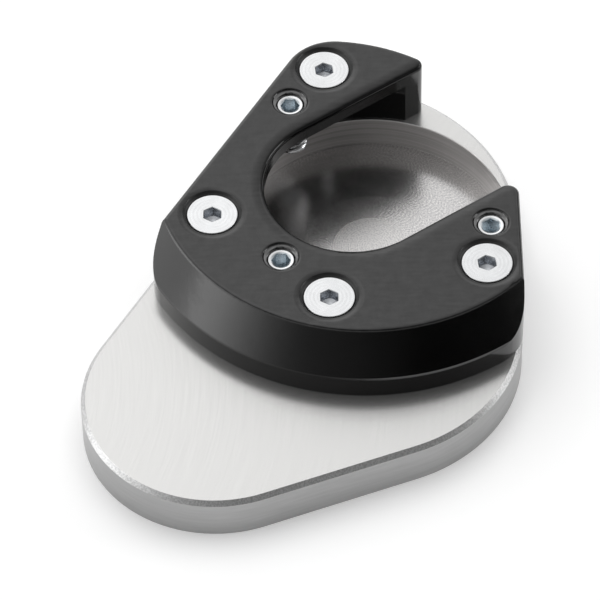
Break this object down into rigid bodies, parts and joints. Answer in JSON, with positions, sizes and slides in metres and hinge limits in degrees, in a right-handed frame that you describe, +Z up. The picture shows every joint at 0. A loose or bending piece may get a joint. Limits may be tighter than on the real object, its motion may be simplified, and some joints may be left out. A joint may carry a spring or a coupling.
{
  "type": "kickstand foot enlarger",
  "caption": "Aluminium motorcycle side stand foot enlarger: a thick plate with a round pocket, and a black horseshoe clamp held by countersunk screws, with set screws.",
  "frame": {"origin": "where the pocket's axis meets the ground", "axes": "+Z up, square to the ground; +Y the way that the horseshoe slot opens; +X to the right of that"},
  "size_m": [0.1084, 0.1292, 0.0275],
  "materials": {
    "plate": "satin",
    "clamp": "black anodised, satin",
    "clamp_screws": "bright",
    "set_screws": "bright"
  },
  "bodies": {
    "root": {"foot_plate": "plate", "clamp": "clamp", "clamp_screw_1": "clamp_screws", "clamp_screw_2": "clamp_screws", "clamp_screw_3": "clamp_screws", "clamp_screw_4": "clamp_screws", "set_screw_1": "set_screws", "set_screw_2": "set_screws", "set_screw_3": "set_screws"}
  },
  "joints": []
}
